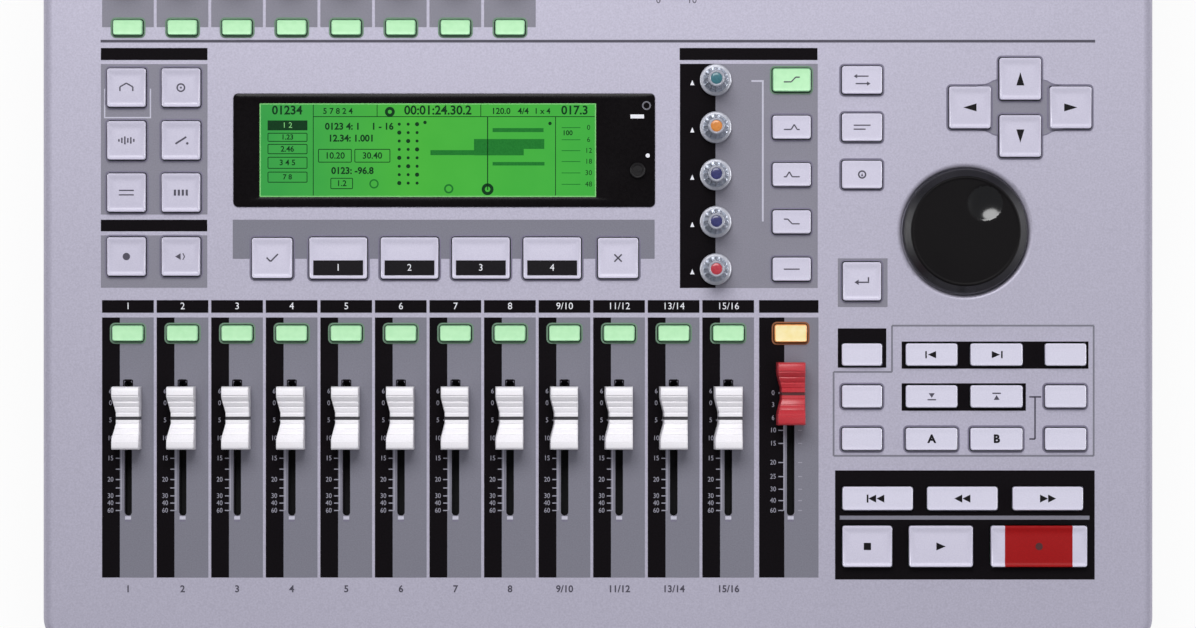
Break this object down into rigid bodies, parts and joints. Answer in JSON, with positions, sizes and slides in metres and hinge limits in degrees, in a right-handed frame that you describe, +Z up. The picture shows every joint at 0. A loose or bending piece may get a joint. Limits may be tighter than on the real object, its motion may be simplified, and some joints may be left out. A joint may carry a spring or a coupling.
{
  "type": "digital multitrack recorder",
  "caption": "Desktop digital multitrack recorder with a sloped panel of faders, rotary knobs, lit keys, a green display, a jog wheel and transport keys.",
  "frame": {"origin": "middle of the footprint, on the plane of the rubber feet", "axes": "+X to the player's right, +Y to the rear with the connectors, +Z up; the panel slopes up 5 degrees towards +Y"},
  "size_m": [0.449, 0.373, 0.1001],
  "materials": {
    "case_silver": "silver-lavender metallic paint with a fine speckle",
    "case_base": "silver-grey moulded plastic",
    "panel_steel": "black powder coat",
    "window_black": "gloss black acrylic",
    "lcd_green": "green backlit liquid crystal glass",
    "track_steel": "plated steel",
    "control_black": "black moulded plastic",
    "board_green": "green solder mask",
    "supply_parts": "varnished windings and sleeves",
    "drive_metal": "cast aluminium",
    "drive_case": "zinc-plated sheet and a silver-grey bezel",
    "socket_black": "black moulded plastic with nickel nuts",
    "foot_rubber": "matt black rubber",
    "screw_steel": "black zinc plating",
    "jog_black": "satin black",
    "knob_silver": "silver-white satin plastic with a coloured top dot",
    "fader_white": "white satin plastic",
    "fader_red": "red satin plastic",
    "key_silver": "pearl-silver satin plastic",
    "key_green": "translucent plastic lit green from below",
    "key_red": "red satin plastic with white ends",
    "switch_black": "black satin plastic"
  },
  "bodies": {
    "case": {"top_case": "case_silver", "bottom_case": "case_base", "rear_panel": "panel_steel", "display_window": "window_black", "lcd_module": "lcd_green", "fader_tracks": "track_steel", "rotary_controls": "control_black", "control_board": "board_green", "main_board": "board_green", "power_supply": "supply_parts", "hard_drive": "drive_metal", "disc_drive": "drive_case", "sockets": "socket_black", "rubber_feet": "foot_rubber", "case_screws": "screw_steel"},
    "disc_tray": {"disc_tray": "switch_black"},
    "jog_wheel": {"jog_wheel": "jog_black"},
    "fader_stereo": {"fader_stereo": "fader_red"},
    "fader_1": {"fader_1": "fader_white"},
    "fader_2": {"fader_2": "fader_white"},
    "fader_3": {"fader_3": "fader_white"},
    "fader_4": {"fader_4": "fader_white"},
    "fader_5": {"fader_5": "fader_white"},
    "fader_6": {"fader_6": "fader_white"},
    "fader_7": {"fader_7": "fader_white"},
    "fader_8": {"fader_8": "fader_white"},
    "fader_9": {"fader_9": "fader_white"},
    "fader_10": {"fader_10": "fader_white"},
    "fader_11": {"fader_11": "fader_white"},
    "fader_12": {"fader_12": "fader_white"},
    "eq_knob_1": {"eq_knob_1": "knob_silver"},
    "eq_knob_2": {"eq_knob_2": "knob_silver"},
    "eq_knob_3": {"eq_knob_3": "knob_silver"},
    "eq_knob_4": {"eq_knob_4": "knob_silver"},
    "eq_knob_5": {"eq_knob_5": "knob_silver"},
    "monitor_knob": {"monitor_knob": "knob_silver"},
    "gain_knob_1": {"gain_knob_1": "knob_silver"},
    "power_switch": {"power_switch": "switch_black"},
    "record_key": {"record_key": "key_red"},
    "play_key": {"play_key": "key_silver"},
    "stop_key": {"stop_key": "key_silver"},
    "search_keys": {"search_keys": "key_silver"},
    "locate_keys": {"locate_keys": "key_silver"},
    "cursor_keys": {"cursor_keys": "key_silver"},
    "enter_key": {"enter_key": "key_silver"},
    "edit_keys": {"edit_keys": "key_silver"},
    "eq_keys": {"eq_keys": "key_silver"},
    "soft_keys": {"soft_keys": "key_silver"},
    "navigate_keys": {"navigate_keys": "key_silver"},
    "channel_select_keys": {"channel_select_keys": "key_green"},
    "input_select_keys": {"input_select_keys": "key_green"},
    "eject_button": {"eject_button": "key_silver"},
    "contrast_knob": {"contrast_knob": "switch_black"},
    "gain_knob_2": {"gain_knob_2": "knob_silver"},
    "gain_knob_3": {"gain_knob_3": "knob_silver"},
    "gain_knob_4": {"gain_knob_4": "knob_silver"},
    "gain_knob_5": {"gain_knob_5": "knob_silver"},
    "gain_knob_6": {"gain_knob_6": "knob_silver"},
    "gain_knob_7": {"gain_knob_7": "knob_silver"},
    "gain_knob_8": {"gain_knob_8": "knob_silver"}
  },
  "joints": [
    {"name": "disc_tray_slide", "type": "slide", "parent": "case", "child": "disc_tray", "axis": [0, -1, 0], "range_m": [0, 0.13]},
    {"name": "jog_wheel_turn", "type": "hinge", "parent": "case", "child": "jog_wheel", "pos_m": [0.1483, -0.01994, 0.07657], "axis": [0, -0.0872, 0.9962], "continuous": true},
    {"name": "fader_stereo_slide", "type": "slide", "parent": "case", "child": "fader_stereo", "axis": [0, 0.9962, 0.0872], "range_m": [-0.0467, 0.0003]},
    {"name": "fader_1_slide", "type": "slide", "parent": "case", "child": "fader_1", "axis": [0, 0.9962, 0.0872], "range_m": [-0.0369, 0.0101]},
    {"name": "fader_2_slide", "type": "slide", "parent": "case", "child": "fader_2", "axis": [0, 0.9962, 0.0872], "range_m": [-0.0369, 0.0101]},
    {"name": "fader_3_slide", "type": "slide", "parent": "case", "child": "fader_3", "axis": [0, 0.9962, 0.0872], "range_m": [-0.0369, 0.0101]},
    {"name": "fader_4_slide", "type": "slide", "parent": "case", "child": "fader_4", "axis": [0, 0.9962, 0.0872], "range_m": [-0.0369, 0.0101]},
    {"name": "fader_5_slide", "type": "slide", "parent": "case", "child": "fader_5", "axis": [0, 0.9962, 0.0872], "range_m": [-0.0369, 0.0101]},
    {"name": "fader_6_slide", "type": "slide", "parent": "case", "child": "fader_6", "axis": [0, 0.9962, 0.0872], "range_m": [-0.0369, 0.0101]},
    {"name": "fader_7_slide", "type": "slide", "parent": "case", "child": "fader_7", "axis": [0, 0.9962, 0.0872], "range_m": [-0.0369, 0.0101]},
    {"name": "fader_8_slide", "type": "slide", "parent": "case", "child": "fader_8", "axis": [0, 0.9962, 0.0872], "range_m": [-0.0369, 0.0101]},
    {"name": "fader_9_slide", "type": "slide", "parent": "case", "child": "fader_9", "axis": [0, 0.9962, 0.0872], "range_m": [-0.0369, 0.0101]},
    {"name": "fader_10_slide", "type": "slide", "parent": "case", "child": "fader_10", "axis": [0, 0.9962, 0.0872], "range_m": [-0.0369, 0.0101]},
    {"name": "fader_11_slide", "type": "slide", "parent": "case", "child": "fader_11", "axis": [0, 0.9962, 0.0872], "range_m": [-0.0369, 0.0101]},
    {"name": "fader_12_slide", "type": "slide", "parent": "case", "child": "fader_12", "axis": [0, 0.9962, 0.0872], "range_m": [-0.0369, 0.0101]},
    {"name": "eq_knob_1_turn", "type": "hinge", "parent": "case", "child": "eq_knob_1", "pos_m": [0.0475, 0.04093, 0.0819], "axis": [0, -0.0872, 0.9962], "continuous": true},
    {"name": "eq_knob_2_turn", "type": "hinge", "parent": "case", "child": "eq_knob_2", "pos_m": [0.0475, 0.0219, 0.08023], "axis": [0, -0.0872, 0.9962], "continuous": true},
    {"name": "eq_knob_3_turn", "type": "hinge", "parent": "case", "child": "eq_knob_3", "pos_m": [0.0475, 0.00288, 0.07857], "axis": [0, -0.0872, 0.9962], "continuous": true},
    {"name": "eq_knob_4_turn", "type": "hinge", "parent": "case", "child": "eq_knob_4", "pos_m": [0.0475, -0.01615, 0.0769], "axis": [0, -0.0872, 0.9962], "continuous": true},
    {"name": "eq_knob_5_turn", "type": "hinge", "parent": "case", "child": "eq_knob_5", "pos_m": [0.0475, -0.03518, 0.07524], "axis": [0, -0.0872, 0.9962], "continuous": true},
    {"name": "monitor_knob_turn", "type": "hinge", "parent": "case", "child": "monitor_knob", "pos_m": [0.0313, 0.08945, 0.08614], "axis": [0, -0.0872, 0.9962], "range_deg": [-150, 150]},
    {"name": "gain_knob_1_turn", "type": "hinge", "parent": "case", "child": "gain_knob_1", "pos_m": [-0.1899, 0.08526, 0.08578], "axis": [0, -0.0872, 0.9962], "range_deg": [-150, 150]},
    {"name": "power_switch_rock", "type": "hinge", "parent": "case", "child": "power_switch", "pos_m": [0.178, 0.175, 0.056], "axis": [1, 0, 0], "range_deg": [-12, 0]},
    {"name": "record_key_press", "type": "slide", "parent": "case", "child": "record_key", "axis": [0, 0.0872, -0.9962], "range_m": [0, 0.0006], "stiffness_N_per_m": 3000},
    {"name": "play_key_press", "type": "slide", "parent": "case", "child": "play_key", "axis": [0, 0.0872, -0.9962], "range_m": [0, 0.0006], "stiffness_N_per_m": 3000},
    {"name": "stop_key_press", "type": "slide", "parent": "case", "child": "stop_key", "axis": [0, 0.0872, -0.9962], "range_m": [0, 0.0006], "stiffness_N_per_m": 3000},
    {"name": "search_keys_press", "type": "slide", "parent": "case", "child": "search_keys", "axis": [0, 0.0872, -0.9962], "range_m": [0, 0.0006], "stiffness_N_per_m": 3000},
    {"name": "locate_keys_press", "type": "slide", "parent": "case", "child": "locate_keys", "axis": [0, 0.0872, -0.9962], "range_m": [0, 0.0006], "stiffness_N_per_m": 3000},
    {"name": "cursor_keys_press", "type": "slide", "parent": "case", "child": "cursor_keys", "axis": [0, 0.0872, -0.9962], "range_m": [0, 0.0006], "stiffness_N_per_m": 3000},
    {"name": "enter_key_press", "type": "slide", "parent": "case", "child": "enter_key", "axis": [0, 0.0872, -0.9962], "range_m": [0, 0.0006], "stiffness_N_per_m": 3000},
    {"name": "edit_keys_press", "type": "slide", "parent": "case", "child": "edit_keys", "axis": [0, 0.0872, -0.9962], "range_m": [0, 0.0006], "stiffness_N_per_m": 3000},
    {"name": "eq_keys_press", "type": "slide", "parent": "case", "child": "eq_keys", "axis": [0, 0.0872, -0.9962], "range_m": [0, 0.0006], "stiffness_N_per_m": 3000},
    {"name": "soft_keys_press", "type": "slide", "parent": "case", "child": "soft_keys", "axis": [0, 0.0872, -0.9962], "range_m": [0, 0.0006], "stiffness_N_per_m": 3000},
    {"name": "navigate_keys_press", "type": "slide", "parent": "case", "child": "navigate_keys", "axis": [0, 0.0872, -0.9962], "range_m": [0, 0.0006], "stiffness_N_per_m": 3000},
    {"name": "channel_select_keys_press", "type": "slide", "parent": "case", "child": "channel_select_keys", "axis": [0, 0.0872, -0.9962], "range_m": [0, 0.0006], "stiffness_N_per_m": 3000},
    {"name": "input_select_keys_press", "type": "slide", "parent": "case", "child": "input_select_keys", "axis": [0, 0.0872, -0.9962], "range_m": [0, 0.0006], "stiffness_N_per_m": 3000},
    {"name": "eject_button_press", "type": "slide", "parent": "case", "child": "eject_button", "axis": [0, 1, 0], "range_m": [0, 0.0008], "stiffness_N_per_m": 1500},
    {"name": "contrast_knob_turn", "type": "hinge", "parent": "case", "child": "contrast_knob", "pos_m": [0.016, 0.00457, 0.07872], "axis": [0, -0.0872, 0.9962], "range_deg": [-140, 140]},
    {"name": "gain_knob_2_turn", "type": "hinge", "parent": "case", "child": "gain_knob_2", "pos_m": [-0.16785, 0.08526, 0.08578], "axis": [0, -0.0872, 0.9962], "range_deg": [-150, 150]},
    {"name": "gain_knob_3_turn", "type": "hinge", "parent": "case", "child": "gain_knob_3", "pos_m": [-0.1458, 0.08526, 0.08578], "axis": [0, -0.0872, 0.9962], "range_deg": [-150, 150]},
    {"name": "gain_knob_4_turn", "type": "hinge", "parent": "case", "child": "gain_knob_4", "pos_m": [-0.12375, 0.08526, 0.08578], "axis": [0, -0.0872, 0.9962], "range_deg": [-150, 150]},
    {"name": "gain_knob_5_turn", "type": "hinge", "parent": "case", "child": "gain_knob_5", "pos_m": [-0.1017, 0.08526, 0.08578], "axis": [0, -0.0872, 0.9962], "range_deg": [-150, 150]},
    {"name": "gain_knob_6_turn", "type": "hinge", "parent": "case", "child": "gain_knob_6", "pos_m": [-0.07965, 0.08526, 0.08578], "axis": [0, -0.0872, 0.9962], "range_deg": [-150, 150]},
    {"name": "gain_knob_7_turn", "type": "hinge", "parent": "case", "child": "gain_knob_7", "pos_m": [-0.0576, 0.08526, 0.08578], "axis": [0, -0.0872, 0.9962], "range_deg": [-150, 150]},
    {"name": "gain_knob_8_turn", "type": "hinge", "parent": "case", "child": "gain_knob_8", "pos_m": [-0.03555, 0.08526, 0.08578], "axis": [0, -0.0872, 0.9962], "range_deg": [-150, 150]}
  ]
}
